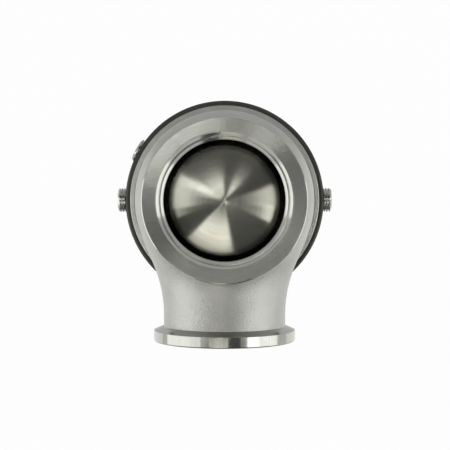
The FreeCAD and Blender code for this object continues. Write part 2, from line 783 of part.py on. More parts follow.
def all_parts():
    parts = {
        "valve_body": valve_body(),
        "seat_ring": seat_ring(),
        "valve_poppet": valve_poppet(),
        "valve_guide": valve_guide(),
        "body_gasket": body_gasket(),
        "actuator_base": actuator_base(),
        "gallery_plate": gallery_plate(),
        "gallery_o_ring_inner": o_ring(PLATE_INNER + O_RING_SECTION_R, PLATE_MIDDLE),
        "gallery_o_ring_outer": o_ring(PLATE_OUTER - O_RING_SECTION_R, PLATE_MIDDLE),
        "base_screws": base_screws(),
        "stem_seal": stem_seal(),
        "seal_clip": seal_clip(),
        "signal_port_plug": port_plug(SIGNAL_PORT_ANGLE, SIGNAL_PLUG_PROUD, 9.5),
        "diaphragm": diaphragm(),
        "diaphragm_retainer": diaphragm_retainer(),
        "piston": piston(),
        "stem_washer": stem_washer(),
        "stem_nut": stem_nut(),
        "actuator_cap": actuator_cap(),
        "locking_collar": locking_collar(),
        "collar_lock_screw": collar_lock_screw(),
        "cap_dowel_pin": cap_dowel_pin(),
    }
    for name, angle in COOLANT_PLUG_ANGLES.items():
        parts[name] = port_plug(angle, COOLANT_PLUG_PROUD)
    for name, (mean_r, wire_r, turns, left_hand) in SPRINGS.items():
        parts[name] = spring(mean_r, wire_r, turns, left_hand)
    return parts


os.makedirs("parts", exist_ok=True)
for name, shape in all_parts().items():
    print(name, "valid" if shape.isValid() else "INVALID", len(shape.Solids), round(shape.Volume))
    shape.exportStep(os.path.join("parts", name + ".step"))
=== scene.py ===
"""Looks, light and camera for a turbo wastegate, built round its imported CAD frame."""

import json
import math

import bpy
import numpy as np
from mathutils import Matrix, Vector


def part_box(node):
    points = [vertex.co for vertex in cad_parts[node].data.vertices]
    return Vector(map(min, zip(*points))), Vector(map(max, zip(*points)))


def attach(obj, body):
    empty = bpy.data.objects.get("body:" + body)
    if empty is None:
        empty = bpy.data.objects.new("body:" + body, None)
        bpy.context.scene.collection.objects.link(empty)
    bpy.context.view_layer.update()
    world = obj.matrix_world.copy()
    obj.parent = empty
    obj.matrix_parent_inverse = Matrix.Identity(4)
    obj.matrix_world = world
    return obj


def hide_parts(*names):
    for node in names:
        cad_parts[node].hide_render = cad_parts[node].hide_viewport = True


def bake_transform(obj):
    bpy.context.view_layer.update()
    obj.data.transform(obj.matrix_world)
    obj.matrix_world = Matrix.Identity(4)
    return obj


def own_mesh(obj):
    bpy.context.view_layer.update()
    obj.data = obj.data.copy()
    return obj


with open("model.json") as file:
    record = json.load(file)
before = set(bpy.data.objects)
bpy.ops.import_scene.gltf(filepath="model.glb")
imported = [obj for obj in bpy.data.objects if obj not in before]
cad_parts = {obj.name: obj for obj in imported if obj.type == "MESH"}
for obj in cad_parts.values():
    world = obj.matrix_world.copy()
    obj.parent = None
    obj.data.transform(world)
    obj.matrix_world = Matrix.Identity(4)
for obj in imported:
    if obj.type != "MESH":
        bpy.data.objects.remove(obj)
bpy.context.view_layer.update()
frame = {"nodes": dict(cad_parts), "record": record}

MM = 0.001  # metres; sizes below are in millimetres and degrees unless they say otherwise

# ---- Places read from the frame -----------------------------------------------------------------
base_low, base_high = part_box("actuator_base")
body_low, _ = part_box("valve_body")
AXIS_Z = (base_low.z + base_high.z) / 2  # height of the valve axis, metres
INLET_Y = body_low.y  # the inlet face, metres; stations are counted from it along +Y
AXIS_HEIGHT, INLET_AT = AXIS_Z / MM, INLET_Y / MM


# ---- Mesh helpers -------------------------------------------------------------------------------
SHARP_ANGLE = math.radians(40.0)  # faces that meet at more than this keep a sharp edge
CORNER_R = 0.3  # rounding of an outline's corner that doesn't carry its own


def new_object(name, vertices, faces, body="housing", replaces=()):
    """A mesh piece, given in metres, that rides on a body."""
    mesh = bpy.data.meshes.new(name)
    mesh.from_pydata([tuple(v) for v in vertices], [], faces)
    mesh.validate()
    piece = bpy.data.objects.new(name, mesh)
    bpy.context.scene.collection.objects.link(piece)
    if body:
        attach(piece, body)
    if replaces:
        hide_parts(*replaces)
    return piece


def smooth(piece):
    """Smooth shading with true sharp edges, and flats that stay flat beside small roundings."""
    mesh = piece.data
    mesh.shade_smooth()
    mesh.set_sharp_from_angle(angle=SHARP_ANGLE)
    weighted = piece.modifiers.new("flats", "WEIGHTED_NORMAL")
    weighted.mode = "FACE_AREA"
    weighted.keep_sharp = True
    return piece


def rounded(points, radius=CORNER_R, steps=4):
    """A closed outline with its corners rounded. A point's third number is its own radius."""
    out = []
    count = len(points)
    for k, corner in enumerate(points):
        here = Vector(corner[:2])
        before, after = Vector(points[k - 1][:2]) - here, Vector(points[(k + 1) % count][:2]) - here
        size = corner[2] if len(corner) > 2 else radius
        turn = before.angle(after, 0.0)
        if size <= 0 or turn < 0.05 or turn > 3.05:  # meant to be sharp, folded back, or straight
            out.append(tuple(here))
            continue
        reach = min(size / math.tan(turn / 2), 0.45 * before.length, 0.45 * after.length)
        first, last = here + before.normalized() * reach, here + after.normalized() * reach
        for step in range(steps + 1):
            t = step / steps
            out.append(tuple((1 - t) ** 2 * first + 2 * t * (1 - t) * here + t**2 * last))
    return out


def arc_points(start, through, end, steps=12):
    """Points on the circle from start to end by way of a third point, start left out."""
    (ax, ay), (bx, by), (cx, cy) = start, through, end
    d = 2 * (ax * (by - cy) + bx * (cy - ay) + cx * (ay - by))
    ux = ((ax**2 + ay**2) * (by - cy) + (bx**2 + by**2) * (cy - ay) + (cx**2 + cy**2) * (ay - by)) / d
    uy = ((ax**2 + ay**2) * (cx - bx) + (bx**2 + by**2) * (ax - cx) + (cx**2 + cy**2) * (bx - ax)) / d
    radius = math.hypot(ax - ux, ay - uy)
    first, middle, last = (math.atan2(p[1] - uy, p[0] - ux) for p in (start, through, end))
    turn = (last - first) % math.tau
    if (middle - first) % math.tau > turn:
        turn -= math.tau
    angles = [first + turn * (k + 1) / steps for k in range(steps)]
    return [(ux + radius * math.cos(a), uy + radius * math.sin(a), 0) for a in angles]


def on_axis(station, radius, angle):
    """A point from its station and its radius and angle (radians) about the valve axis."""
    x, z = radius * MM * math.cos(angle), radius * MM * math.sin(angle)
    return Vector((x, INLET_Y + station * MM, AXIS_Z + z))


def upright(height, radius, angle):
    """A point from its height and its radius and angle (radians) about the outlet's centre line."""
    return Vector((radius * MM * math.cos(angle), radius * MM * math.sin(angle), height * MM))


def skin(name, rings, body="housing", replaces=(), loop=True):
    """A mesh over rings of points. A ring of one point is a tip; a loop joins last to first."""
    segments = max(len(ring) for ring in rings)
    vertices, rows = [], []
    for ring in rings:
        rows.append([len(vertices) + (k if len(ring) > 1 else 0) for k in range(segments)])
        vertices += ring
    faces = []
    pairs = zip(rows, rows[1:] + rows[:1], strict=True) if loop else zip(rows, rows[1:])
    for row, following in pairs:
        if row[0] == row[-1] and following[0] == following[-1]:
            continue
        for s in range(segments):
            t = (s + 1) % segments
            corners = [row[s], row[t], following[t], following[s]]
            faces.append([v for i, v in enumerate(corners) if v != corners[i - 1]])
    volume = sum(  # six times over; below zero where the faces look inwards
        Vector(vertices[f[0]]).dot(Vector(vertices[f[k]]).cross(Vector(vertices[f[k + 1]])))
        for f in faces
        for k in range(1, len(f) - 1)
    )
    if volume < 0:
        faces = [face[::-1] for face in faces]
    return smooth(new_object(name, vertices, faces, body, replaces))


def lathe(name, outline, body="housing", replaces=(), segments=256, place=on_axis):
    """A closed outline of (station, radius) points turned about an axis. A radius may be a function
    of the angle."""
    turns = [math.tau * k / segments for k in range(segments)]
    rings = []
    for station, radius in outline:
        if callable(radius):
            rings.append([place(station, radius(a), a) for a in turns])
        elif radius < 1e-4:  # a tip on the axis
            rings.append([place(station, 0.0, 0.0)])
        else:
            rings.append([place(station, radius, a) for a in turns])
    return skin(name, rings, body, replaces)


# ---- The casting: an implicit solid, meshed as a surface net ------------------------------------
WALL = 4.2
NECK_R, NECK_START, NECK_END = 39.0, 3.0, 10.0
BELLY_R, BELLY_STATION, BELLY_END = 49.0, 50.0, 66.5
BELLY_ARC_R = 85.0  # profile radius of the chamber's shoulder
GROOVE_R, GROOVE_START, CHAMBER_END = 47.0, 68.8, 75.0
SEAT_R, SEAT_LENGTH = 35.2, 14.8
CAVITY_SHOULDER, CAVITY_TOP = 18.0, 70.0
BOSS_R, BOSS_END, GUIDE_R = 12.0, 57.0, 8.0
PIPE_R, PIPE_START, PIPE_TOP = 33.0, 3.0, 14.0
FLARE_R, FLARE_ANGLE = 70.0, math.radians(22.6)  # the branch's sides widen into the chamber
BRANCH_WIDEST = 45.0
BRANCH_TOP = AXIS_HEIGHT - 14.0
REAR_EXTRA, REAR_RISE = 3.2, 24.0  # the wall behind the branch thickens over this height
CROTCH_REACH, CROTCH_SIDE = 12.0, 45.5  # the blend of chamber and branch ends this far from the middle
CELL = 1.0
CAST_LOW, CAST_HIGH = (-54.0, -46.0, -2.0), (54.0, 38.0, 130.0)


def belly_line(first, shrink, steps=24):
    """(station, radius) points down the chamber's shoulder, offset inwards."""
    stations = [first + (BELLY_STATION - first) * k / steps for k in range(steps + 1)]
    lift = BELLY_R - BELLY_ARC_R - shrink
    return [(s, lift + math.sqrt(BELLY_ARC_R**2 - (BELLY_STATION - s) ** 2), 0) for s in stations]


def chamber_outline():
    """The cast skin from inside the inlet flange to inside the actuator flange."""
    line = [(NECK_START, 0, 0), (NECK_START, NECK_R, 0), *belly_line(NECK_END, 0.0)[1:]]
    line += [(BELLY_END, BELLY_R - 0.4, 2.0), (GROOVE_START, GROOVE_R, 1.2)]
    line += [(CHAMBER_END, GROOVE_R, 0), (CHAMBER_END, 0, 0)]
    return rounded(line, 0)


def cavity_outline():
    """The seat's bore and the gas chamber, with the guide's boss left standing."""
    line = [(-4.0, 0, 0), (-4.0, SEAT_R, 0), (SEAT_LENGTH, SEAT_R, 0)]
    line += belly_line(CAVITY_SHOULDER, WALL)
    line += [(CAVITY_TOP, BELLY_R - WALL - 0.6, 6.0), (CAVITY_TOP, BOSS_R, 3.5)]
    line += [(BOSS_END, BOSS_R, 1.5), (BOSS_END, 0, 0)]
    return rounded(line, 0)


class TurnedField:
    """Signed distance to a closed outline turned about the valve axis, from a table."""

    STEP = 0.25
    FIRST, LAST, WIDEST = -8.0, 84.0, 62.0

    def __init__(self, outline):
        stations = np.arange(self.FIRST, self.LAST, self.STEP)
        radii = np.arange(0.0, self.WIDEST, self.STEP)
        station, radius = np.meshgrid(stations, radii, indexing="ij")
        nearest, inside = np.full(station.shape, 1e9), np.zeros(station.shape, bool)
        for k, (x1, y1) in enumerate(outline):
            x0, y0 = outline[k - 1]
            ex, ey = x1 - x0, y1 - y0
            px, py = station - x0, radius - y0
            along = np.clip((px * ex + py * ey) / max(ex * ex + ey * ey, 1e-12), 0, 1)
            if max(y0, y1) >= 1e-6:  # the axis itself isn't a wall
                nearest = np.minimum(nearest, (px - along * ex) ** 2 + (py - along * ey) ** 2)
            if abs(ey) > 1e-12:
                inside ^= ((y0 > radius) != (y1 > radius)) & (station < x0 + (radius - y0) * ex / ey)
        self.table = np.where(inside, -1.0, 1.0) * np.sqrt(nearest)

    def __call__(self, x, y, z):
        u = (y - INLET_AT - self.FIRST) / self.STEP
        v = np.sqrt(x * x + (z - AXIS_HEIGHT) ** 2) / self.STEP
        rows, columns = self.table.shape
        i = np.clip(u.astype(int), 0, rows - 2)
        j = np.clip(v.astype(int), 0, columns - 2)
        a, b = np.clip(u - i, 0, 1), np.clip(v - j, 0, 1)
        low = self.table[i, j] * (1 - b) + self.table[i, j + 1] * b
        high = self.table[i + 1, j] * (1 - b) + self.table[i + 1, j + 1] * b
        return low * (1 - a) + high * a


def branch_width(z):
    """Half the branch's width across the valve axis: a pipe, an arc and a tangent."""
    arc_top = PIPE_TOP + FLARE_R * math.sin(FLARE_ANGLE)
    turn = np.arcsin(np.clip((z - PIPE_TOP) / FLARE_R, 0, math.sin(FLARE_ANGLE)))
    straight = np.maximum(z - arc_top, 0) * math.tan(FLARE_ANGLE)
    return np.minimum(PIPE_R + FLARE_R * (1 - np.cos(turn)) + straight, BRANCH_WIDEST)


def branch_field(x, y, z, shrink, rear, bottom):
    """Nearly the distance to the outlet branch, an oval pipe that widens upwards."""
    thinner = rear * np.clip((z - PIPE_TOP) / REAR_RISE, 0, 1)
    wide, deep = branch_width(z) - shrink, PIPE_R - shrink - thinner / 2
    y = y + thinner / 2
    q = np.sqrt((x / wide) ** 2 + (y / deep) ** 2) + 1e-9
    slope = np.sqrt((x / wide**2) ** 2 + (y / deep**2) ** 2) + 1e-9
    return np.maximum((q - 1) * q / slope, np.maximum(z - BRANCH_TOP, bottom - z))


def smooth_union(a, b, reach):
    """The union of two fields, with a fillet where they are within reach of each other."""
    mixed = np.maximum(reach - np.abs(a - b), 0) / reach
    return np.minimum(a, b) - mixed**2 * reach / 4


chamber, cavity = TurnedField(chamber_outline()), TurnedField(cavity_outline())


def casting_field(x, y, z):
    """Nearly the distance to the cast body, negative inside the metal."""
    reach = CROTCH_REACH * np.clip(1 - (x / CROTCH_SIDE) ** 2, 0.02, 1)
    outside = smooth_union(chamber(x, y, z), branch_field(x, y, z, 0.0, 0.0, PIPE_START), reach)
    inside = smooth_union(cavity(x, y, z), branch_field(x, y, z, WALL, REAR_EXTRA, -6.0), reach)
    guide_hole = np.maximum(np.sqrt(x * x + (z - AXIS_HEIGHT) ** 2) - GUIDE_R, -y)
    return np.maximum(outside, -np.minimum(inside, guide_hole))


def surface_net(field, low, high, cell):
    """Vertices and quads on the field's zero level, with one vertex in each cell it crosses."""
    axes = [np.arange(a, b, cell) for a, b in zip(low, high, strict=True)]
    values = field(*np.meshgrid(*axes, indexing="ij"))
    inside = values < 0
    corners = [(i, j, k) for i in (0, 1) for j in (0, 1) for k in (0, 1)]
    count = sum(
        inside[i : i - 1 or None, j : j - 1 or None, k : k - 1 or None].astype(np.int8)
        for i, j, k in corners
    )
    cells = np.argwhere((count > 0) & (count < 8))
    index = np.full(count.shape, -1, int)
    index[tuple(cells.T)] = np.arange(len(cells))
    # Each vertex is the mean of the points where its cell's edges cross the level.
    total, hits = np.zeros((len(cells), 3)), np.zeros((len(cells), 1))
    for a in corners:
        for axis in range(3):
            if a[axis]:
                continue
            b = tuple(v + (n == axis) for n, v in enumerate(a))
            va = values[tuple((cells + a).T)]
            vb = values[tuple((cells + b).T)]
            crossed = (va < 0) != (vb < 0)
            t = np.where(crossed, va / np.where(crossed, va - vb, 1), 0)[:, None]
            point = np.array(a) + t * (np.array(b) - np.array(a))
            total += np.where(crossed[:, None], point, 0)
            hits += crossed[:, None]
    vertices = np.array(low) + cell * (cells + total / hits)
    # Each crossed edge of the grid gets a quad between the four cells round it.
    quads = []
    for axis in range(3):
        u, v = (axis + 1) % 3, (axis + 2) % 3
        here = [slice(1, -1)] * 3
        here[axis] = slice(0, -1)
        there = list(here)
        there[axis] = slice(1, None)
        first, second = inside[tuple(here)], inside[tuple(there)]
        edges = np.argwhere(first != second)
        forward = first[tuple(edges.T)]
        edges = edges + np.array([0 if n == axis else 1 for n in range(3)])
        ring = []
        for du, dv in ((1, 1), (0, 1), (0, 0), (1, 0)):
            at = edges.copy()
            at[:, u] -= du
            at[:, v] -= dv
            ring.append(index[tuple(at.T)])
        ring = np.stack(ring, 1)
        ring[~forward] = ring[~forward][:, ::-1]
        quads.append(ring)
    return vertices, np.concatenate(quads)


def field_slope(field, points, step=0.2):
    """The field's gradient at each point."""
    slope = np.empty_like(points)
    for axis in range(3):
        shift = np.zeros(3)
        shift[axis] = step
        slope[:, axis] = (field(*(points + shift).T) - field(*(points - shift).T)) / (2 * step)
    return slope


def casting():
    """The cast body. Its turned flanges are pieces of their own."""
    vertices, quads = surface_net(casting_field, CAST_LOW, CAST_HIGH, CELL)
    for _ in range(3):  # draws the vertices onto the level
        slope = field_slope(casting_field, vertices)
        size = np.maximum((slope**2).sum(1, keepdims=True), 0.25)
        step = -casting_field(*vertices.T)[:, None] * slope / size
        vertices = vertices + np.clip(step, -0.4, 0.4)
    slope = field_slope(casting_field, vertices, 0.4)
    normals = slope / np.linalg.norm(slope, axis=1, keepdims=True)
    faces = quads.tolist()
    piece = new_object("cast_body", vertices * MM, faces, replaces=["valve_body"])
    piece.data.shade_smooth()
    piece.data.normals_split_custom_set_from_vertices(normals.tolist())
    return piece


# ---- Turned flanges of the body -----------------------------------------------------------------
CLAMP_SLOPE = math.tan(math.radians(22.0))
RIM_R, OUTLET_RIM_R, ACTUATOR_FLANGE_R = 42.5, 38.3, 53.6
RIM_END, OUTLET_CONE_START = 5.6, 6.0
OUTLET_BORE_R = 28.8
FLANGE_FRONT, BODY_TOP = 73.0, 80.0  # stations of the actuator flange's two faces
SEAM_R, SEAM_DEPTH, PIT_DEPTH = 50.95, 0.35, 0.9
SEAMS = ((4.0, 19.0), (180.0, 23.0))  # where each seam has its middle, and half its length
PITS = (23.0, 345.0, 203.0)


def body_flange(name, line, place=on_axis):
    """A turned flange of the valve body."""
    return lathe(name, rounded(line), replaces=["valve_body"], place=place)


def inlet_flange():
    """The V-band flange round the inlet."""
    cone_end = RIM_END + (RIM_R - NECK_R) * CLAMP_SLOPE
    line = [(0.0, SEAT_R, 0.15), (0.0, RIM_R - 0.55, 0.2)]
    line += [(0.55, RIM_R, 0.2), (RIM_END, RIM_R, 0.25), (cone_end, NECK_R + 0.05, 0.1)]
    line += [(cone_end + 1.6, NECK_R - 0.8, 0), (9.0, SEAT_R, 0)]
    return body_flange("inlet_flange", line)


def outlet_flange():
    """The V-band flange that the gate stands on; its stations are heights."""
    cone_end = OUTLET_CONE_START + (OUTLET_RIM_R - PIPE_R) * CLAMP_SLOPE
    line = [(0.0, OUTLET_BORE_R, 0.3), (0.0, OUTLET_RIM_R - 0.6, 0.2), (0.6, OUTLET_RIM_R, 0.2)]
    line += [(OUTLET_CONE_START - 0.1, OUTLET_RIM_R, 0.3), (cone_end, PIPE_R + 0.05, 0.1)]
    line += [(cone_end + 1.4, PIPE_R - 0.8, 0), (8.6, 29.4, 0), (8.0, 28.72, 0.2)]
    return body_flange("outlet_flange", line, upright)


def seam_depth(radius, angle):
    """A scribed seam round each side of the actuator flange's front, and the pits at their ends."""
    if abs(radius - SEAM_R) > 0.12:
        return 0.0

    def away(middle):
        return abs((math.degrees(angle) - middle + 180) % 360 - 180)

    seam = sum(min(max((half - away(middle)) / 2, 0), 1) for middle, half in SEAMS)
    pit = sum(max(1 - away(middle) / 1.6, 0) for middle in PITS)
    return SEAM_DEPTH * seam + PIT_DEPTH * pit


def actuator_flange():
    """The flange that carries the actuator. Its front is slightly conical and has the seams."""
    rim, inside, front = ACTUATOR_FLANGE_R, GROOVE_R - 1.5, FLANGE_FRONT
    line = [(front, inside, 0)] + [(front, SEAM_R + d, 0) for d in (-0.3, -0.1, 0.1, 0.3)]
    line += [(front + 0.25, rim - 0.35, 0.15), (front + 0.6, rim, 0.15), (BODY_TOP - 0.5, rim, 0.2)]
    line += [(BODY_TOP, rim - 0.5, 0.2), (BODY_TOP, GUIDE_R + 0.2, 0.2)]
    line += [(front - 1.5, GUIDE_R + 0.2, 0), (front - 1.5, inside, 0)]

    def place(station, radius, angle):
        depth = seam_depth(radius, angle) if station < front + 0.1 else 0.0
        return on_axis(station + depth, radius, angle)

    return body_flange("actuator_flange", line, place)


# ---- Valve and seat -----------------------------------------------------------------------------
VALVE_FACE, FACE_EDGE_R, DOME_R = 5.0, 28.3, 75.0
NOSE_R, NOSE_HALFWAY, NOSE_END = 29.1, (11.013, 28.882), 11.73  # the rounding from face to side
VALVE_RIM_R, STEM_R = 33.08, 5.0
STEM_SHOULDER, STEM_THREAD_R, STEM_ROOT_R, STEM_PITCH = 96.2, 4.0, 3.45, 1.25
THROAT_R, SEAT_STEP, RELIEF_START, RELIEF = 31.2, 3.1, 8.4, 0.15


def dome(radius):
    """The station of the domed face at a radius."""
    return VALVE_FACE + DOME_R - math.sqrt(DOME_R**2 - radius**2)


def valve():
    """The poppet: a domed face with a centre mark, the seating cone, the tulip and the stem."""
    face = [(VALVE_FACE + 0.5, 0), (VALVE_FACE + 0.12, 0.8, 0.1)]
    face += [(dome(r) + 0.02, r, 0) for r in (1.6, *range(3, 28, 2), FACE_EDGE_R)]
    face_end = (dome(FACE_EDGE_R), FACE_EDGE_R)
    nose = arc_points(face_end, NOSE_HALFWAY, (NOSE_END, NOSE_R), 8)
    cone = [(11.8, NOSE_R, 0.5), (12.65, THROAT_R + 0.05, 0.3), (14.45, VALVE_RIM_R, 0.3)]
    back = [(16.45, VALVE_RIM_R, 0.3), (17.25, 32.3, 0.4), (21.0, 22.0, 0)]
    back += arc_points((21.0, 22.0), (25.5, 10.0), (36.0, STEM_R), 16)
    stem = [(STEM_SHOULDER, STEM_R, 0.2), (STEM_SHOULDER, STEM_THREAD_R, 0.1)]
    crests = [STEM_THREAD_R if k % 2 else STEM_ROOT_R for k in range(24)]
    thread = [(96.9 + STEM_PITCH / 2 * k, radius, 0) for k, radius in enumerate(crests)]
    end = [(112.0, STEM_THREAD_R, 0.1), (112.5, STEM_THREAD_R - 0.5, 0.1), (112.5, 0)]
    line = rounded([*face, *nose, *cone, *back, *stem, *thread, *end], 0)
    return lathe("valve", line, "valve", ["valve_poppet"])


def seat():
    """The seat ring. Its two front chamfers are shallow enough to catch the side light."""
    outside, relieved, cone_end = SEAT_R - 0.05, THROAT_R + RELIEF, THROAT_R + 2.1
    line = [(0.3, outside, 0.1), (0.3, SEAT_R - 0.35, 0.15), (1.45, SEAT_R - 1.75, 0.2)]
    line += [(SEAT_STEP, SEAT_R - 1.85, 0.25), (SEAT_STEP, THROAT_R + 1.4, 0.2)]
    line += [(SEAT_STEP + 1.1, THROAT_R, 0.2), (RELIEF_START, THROAT_R, 0.05)]
    line += [(RELIEF_START + 0.05, relieved, 0.05), (12.65, relieved, 0.1), (14.6, cone_end, 0.1)]
    line += [(SEAT_LENGTH, cone_end, 0.1), (SEAT_LENGTH, outside, 0.1)]
    return lathe("seat", rounded(line), replaces=["seat_ring"])


# ---- Threaded port plugs ------------------------------------------------------------------------
PLUG_R, PLUG_PITCH, THREAD_DEPTH = 6.98, 1.5, 0.75
HEX_HALF = 3.15  # half the width across the key socket's flats
PORT_STATION, ACTUATOR_R = 89.5, 56.9


def port_plug(node, turn, proud, length):
    """An M14 plug: a helical thread outside and a hexagon socket in its outer face."""
    heading = math.radians(turn)
    side = Vector((-math.sin(heading), 0, math.cos(heading)))

    def place(depth, radius, a):
        centre = on_axis(PORT_STATION, ACTUATOR_R + proud - depth, heading)
        return centre + (side * math.cos(a) + Vector((0, 1, 0)) * math.sin(a)) * radius * MM

    def thread(depth):
        # The thread fades in and out at the plug's two ends.
        fade = min(max((depth - 0.5) / 0.5, 0), max((length - 0.4 - depth) / 0.6, 0), 1)

        def radius(a):
            wave = abs(((depth - PLUG_PITCH * a / math.tau) / PLUG_PITCH) % 1 - 0.5) * 2
            sharp = min(max((wave - 0.18) / 0.64, 0), 1)
            return PLUG_R - 0.03 - THREAD_DEPTH * fade * (1 - sharp)

        return radius

    def hexagon(a):
        return HEX_HALF / math.cos((a + math.pi / 6) % (math.pi / 3) - math.pi / 6)

    def countersunk(a):
        return max(hexagon(a), 4.1)

    threaded = length - 1.2
    steps = round(threaded / 0.15)
    depths = [0.85 + threaded * k / steps for k in range(steps)]
    line = [(0.0, 4.55), (0.0, PLUG_R - 1.05), (0.12, PLUG_R - 0.9), (0.75, PLUG_R - 0.3)]
    line += [(depth, thread(depth)) for depth in depths]
    line += [(length - 0.3, PLUG_R - 0.3), (length, PLUG_R - 0.7), (length, 0)]
    line += [(5.6, 0), (5.0, 2.6), (5.0, hexagon), (0.95, hexagon), (0.9, hexagon)]
    line += [(0.45, countersunk), (0.05, 4.5)]
    name = node.replace("plug", "thread")
    return lathe(name, line, replaces=[node], segments=96, place=place)


# ---- Springs and diaphragm ----------------------------------------------------------------------
SPRING_SEAT, SPRING_CEILING = 102.4, 146.0
COIL_STEPS, WIRE_SIDES = 40, 14  # rings in each turn of a coil, and points in each ring
MEMBRANE_FLAT, MEMBRANE_RIM = 99.4, 111.2


def spring(node, mean, wire, turns, hand):
    """A compression spring between the cap and the piston, from its mean radius, the radius of its
    wire, its turns and its hand: 1, or -1 for left. Its end turns are closed and ground flat."""
    span = SPRING_CEILING - SPRING_SEAT
    close = 2 * wire + 0.2  # pitch of the end turns
    pitch = (span - wire - 2 * close) / (turns - 2)
    rings = []
    for k in range(round(turns * COIL_STEPS) + 1):
        turn = k / COIL_STEPS
        middle = min(max(turn - 1, 0), turns - 2)
        height = wire / 2 + close * (turn - middle) + pitch * middle
        swing = math.tau * turn * hand
        lean = (pitch if 1 < turn < turns - 1 else close) / (math.tau * mean)
        ring = []
        for j in range(WIRE_SIDES):
            a = math.tau * j / WIRE_SIDES
            station = SPRING_SEAT + height + wire * math.sin(a)
            shift = -lean * wire * math.sin(a) / mean * hand
            station = min(max(station, SPRING_SEAT), SPRING_CEILING)
            ring.append(on_axis(station, mean + wire * math.cos(a), -swing - shift))
        rings.append(ring)
    first, last = (sum(ring, Vector()) / WIRE_SIDES for ring in (rings[0], rings[-1]))
    rings = [[first], *rings, [last]]
    name = node.replace("spring", "coil")
    coil = skin(name, rings, replaces=[node], loop=False)
    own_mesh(coil)
    return coil


def membrane():
    """The rolling diaphragm, turned as one sheet and attached to no body."""
    line = [(98.2, 4.0), (98.2, 36.5), *arc_points((98.2, 36.5), (99.1, 39.3), (101.5, 41.0), 8)]
    line += [(108.2, 43.6), *arc_points((108.2, 43.6), (110.45, 44.8), (MEMBRANE_RIM, 46.5), 8)]
    line += [(MEMBRANE_RIM, 50.1), (112.8, 50.1), (112.8, 45.4)]
    line += arc_points((112.8, 45.4), (111.7, 43.2), (108.6, 42.3), 8)
    line += [(101.9, 39.9), *arc_points((101.9, 39.9), (100.1, 38.2), (MEMBRANE_FLAT, 36.0), 8)]
    line += [(MEMBRANE_FLAT, 4.0)]
    line = [point[:2] for point in line]  # without the corner radii that arc_points adds
    sheet = lathe("membrane", line, None, ["diaphragm"], segments=128)
    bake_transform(sheet)
    return sheet


cast_body = casting()
inlet_rim, outlet_rim, actuator_rim = inlet_flange(), outlet_flange(), actuator_flange()
poppet, seat_piece = valve(), seat()
plugs = [
    port_plug("coolant_plug_right", 0, 4.7, 12.0),
    port_plug("coolant_plug_left", 180, 4.7, 12.0),
    port_plug("signal_port_plug", 150, 1.9, 9.1),
]
springs = [
    spring("spring_outer", 30.2, 2.1, 5.75, 1),
    spring("spring_middle", 22.6, 1.7, 7.0, -1),
    spring("spring_inner", 15.6, 1.3, 9.0, 1),
]
sheet = membrane()


# ---- Material helpers ---------------------------------------------------------------------------
class Nodes:
    """The node tree of a new material or world. Most calls make a node and return its output."""

    def __init__(self, owner):
        self.owner = owner
        owner.use_nodes = True
        self.tree = owner.node_tree
        self.tree.nodes.clear()

    def node(self, kind, settings=None, sockets=None):
        """The one call that returns the node itself."""
        made = self.tree.nodes.new(kind)
        for key, value in (settings or {}).items():
            setattr(made, key, value)
        for key, value in (sockets or {}).items():
            self.plug(made.inputs[key], value)
        return made

    def plug(self, socket, value):
        if isinstance(value, bpy.types.NodeSocket):
            self.tree.links.new(value, socket)
        else:
            socket.default_value = value

    def math(self, operation, a, b=0.0, c=0.0):
        made = self.node("ShaderNodeMath", {"operation": operation})
        for socket, value in zip(made.inputs, (a, b, c), strict=True):
            self.plug(socket, value)
        return made.outputs[0]

    def split(self, vector):
        return self.node("ShaderNodeSeparateXYZ", {}, {"Vector": vector}).outputs

    def join(self, x, y, z):
        return self.node("ShaderNodeCombineXYZ", {}, {"X": x, "Y": y, "Z": z}).outputs[0]

    def ramp(self, value, low, high, to_low=0.0, to_high=1.0):
        """A smooth step from one value to another."""
        sockets = {"Value": value, "From Min": low, "From Max": high}
        sockets |= {"To Min": to_low, "To Max": to_high}
        return self.node("ShaderNodeMapRange", {"interpolation_type": "SMOOTHSTEP"}, sockets).outputs[0]

    def finish(self, shader, kind="ShaderNodeOutputMaterial"):
        """Links the last shader to the output."""
        output = self.node(kind)
        self.tree.links.new(shader.outputs[0], output.inputs["Surface"])
        return self.owner


